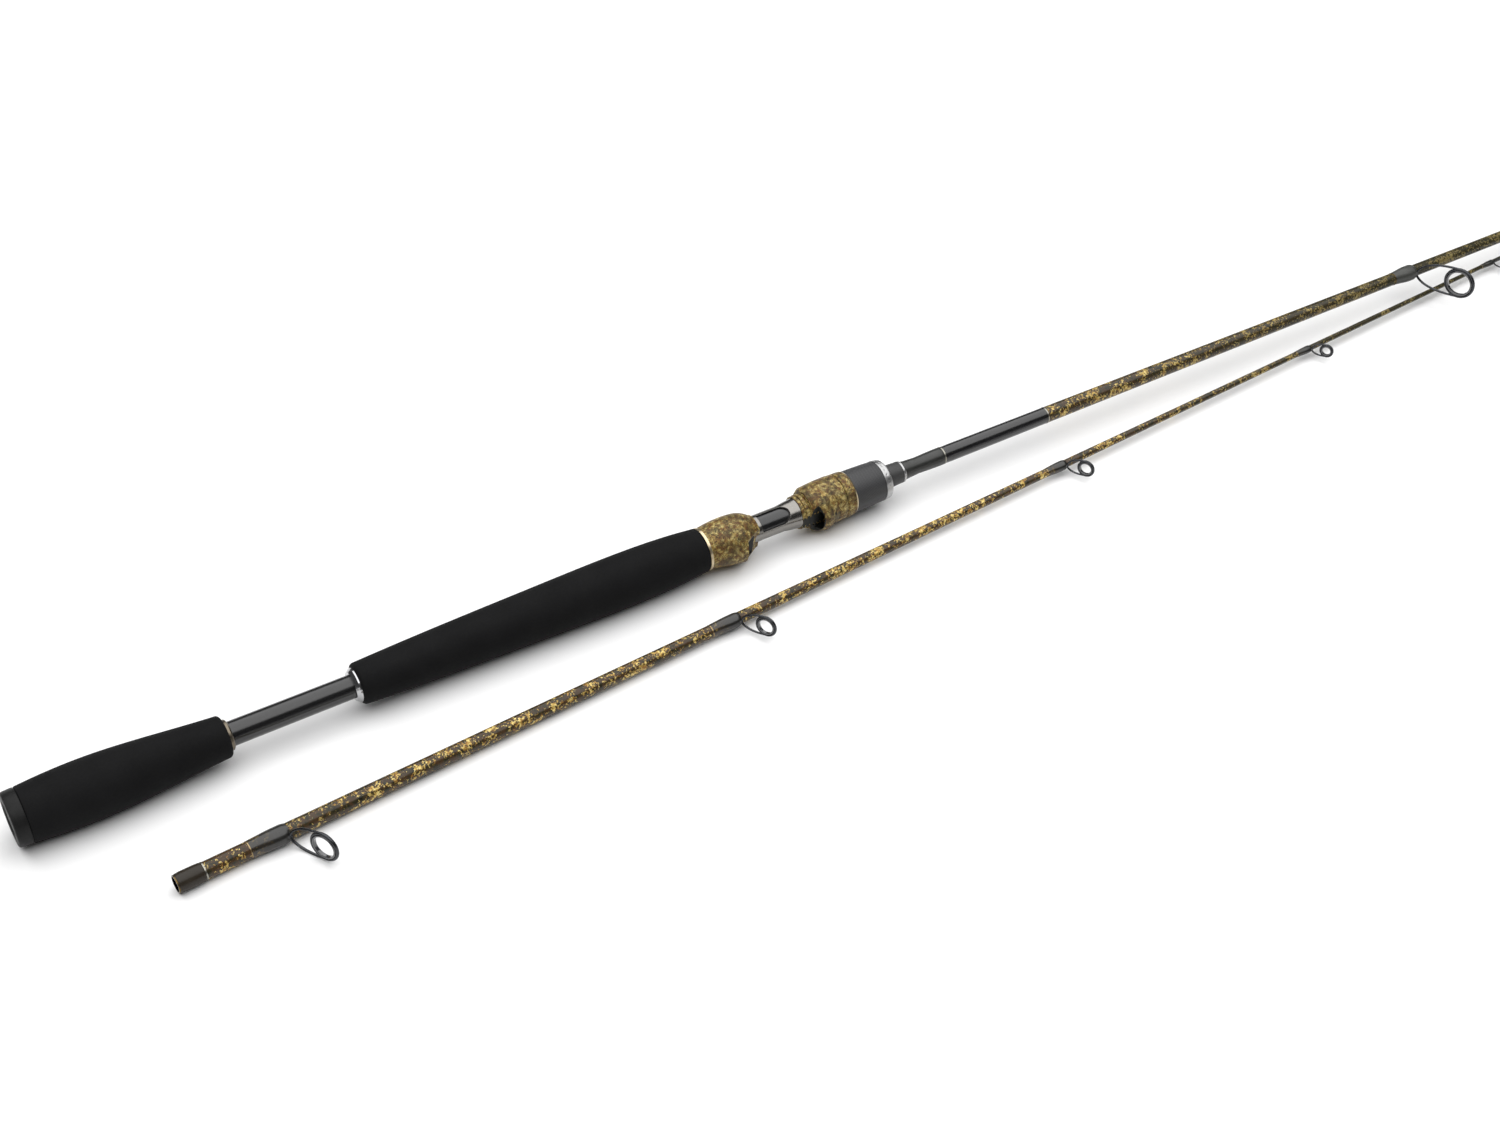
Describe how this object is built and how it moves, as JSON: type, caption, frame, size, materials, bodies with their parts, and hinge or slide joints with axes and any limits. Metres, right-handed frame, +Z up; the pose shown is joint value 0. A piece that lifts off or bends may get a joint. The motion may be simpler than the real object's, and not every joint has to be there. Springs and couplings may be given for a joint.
{
  "type": "spinning rod",
  "caption": "Two-piece spinning fishing rod with split foam grips, sliding-hood reel seat and single-foot line guides, laid out with its tip section beside its butt section.",
  "frame": {"origin": "centre of the butt cap's end face, on the butt section's axis", "axes": "+X along the butt section from the butt cap to the tip, +Z up from the surface that the rod lies on, the reel seat's foot side and the guides face within 10 degrees of -Y"},
  "size_m": [1.3089, 0.1112, 0.0318],
  "materials": {
    "dark_plastic": "satin",
    "eva_foam": "matt closed-cell foam",
    "grey_gold_metal": "satin",
    "chrome_trim": "polished",
    "silver_trim": "satin",
    "gold_trim": "polished",
    "camo_gloss": "glossy camouflage print",
    "gunmetal": "satin gunmetal",
    "woven_graphite": "satin, fine diagonal weave",
    "graphite_blank": "glossy graphite",
    "wrap_varnish": "varnished thread",
    "guide_metal": "dark gunmetal",
    "guide_ring": "polished ceramic"
  },
  "bodies": {
    "butt_section": {"blank_band": "gold_trim", "butt_blank": "graphite_blank", "butt_cap": "dark_plastic", "fore_grip": "eva_foam", "fore_grip_check": "chrome_trim", "front_arbor": "dark_plastic", "front_collar": "dark_plastic", "rear_grip": "eva_foam", "rear_grip_check": "grey_gold_metal", "rear_hood": "camo_gloss", "rear_hood_cushion": "dark_plastic", "seat_frame": "gunmetal", "seat_rear_ring": "gold_trim", "seat_sleeve": "graphite_blank", "seat_wrap": "wrap_varnish", "seat_wrap_band": "gold_trim", "stripper_band": "gold_trim", "stripper_frame": "guide_metal", "stripper_ring": "guide_ring", "stripper_wrap": "wrap_varnish", "threaded_barrel": "camo_gloss", "winding_check": "silver_trim"},
    "sliding_hood": {"sliding_hood": "camo_gloss", "sliding_hood_cushion": "dark_plastic"},
    "lock_nut": {"nut_core": "dark_plastic", "nut_collar": "camo_gloss", "nut_trim_ring": "gold_trim", "nut_grip": "woven_graphite", "nut_front_ring": "silver_trim"},
    "tip_section": {"ferrule_band": "gold_trim", "ferrule_mouth_ring": "gold_trim", "ferrule_wrap": "wrap_varnish", "tip_blank": "graphite_blank", "tip_guide_1_frame": "guide_metal", "tip_guide_1_ring": "guide_ring", "tip_guide_1_wrap": "wrap_varnish", "tip_guide_2_frame": "guide_metal", "tip_guide_2_ring": "guide_ring", "tip_guide_2_wrap": "wrap_varnish", "tip_guide_3_frame": "guide_metal", "tip_guide_3_ring": "guide_ring", "tip_guide_3_wrap": "wrap_varnish", "tip_guide_4_frame": "guide_metal", "tip_guide_4_ring": "guide_ring", "tip_guide_4_wrap": "wrap_varnish", "tip_guide_5_frame": "guide_metal", "tip_guide_5_ring": "guide_ring", "tip_guide_5_wrap": "wrap_varnish", "tip_guide_6_frame": "guide_metal", "tip_guide_6_ring": "guide_ring", "tip_guide_6_wrap": "wrap_varnish", "tip_guide_7_frame": "guide_metal", "tip_guide_7_ring": "guide_ring", "tip_guide_7_wrap": "wrap_varnish", "tip_guide_bands": "gold_trim", "tip_top_frame": "guide_metal", "tip_top_ring": "guide_ring", "tip_top_tube": "guide_metal", "tip_top_wrap": "wrap_varnish"}
  },
  "joints": [
    {"name": "hood_slide", "type": "slide", "parent": "butt_section", "child": "sliding_hood", "axis": [1, 0, 0], "range_m": [-0.01, 0]},
    {"name": "nut_turn", "type": "hinge", "parent": "sliding_hood", "child": "lock_nut", "pos_m": [0.4863, 0, 0], "axis": [1, 0, 0], "range_deg": [-1800, 0]},
    {"name": "tip_draw_off", "type": "slide", "parent": "butt_section", "child": "tip_section", "axis": [0, -1, 0], "range_m": [0, 0.25]}
  ],
  "couplings": [
    {"joint": "hood_slide", "follows": "nut_turn", "m_per_rad": 0.00031831}
  ]
}
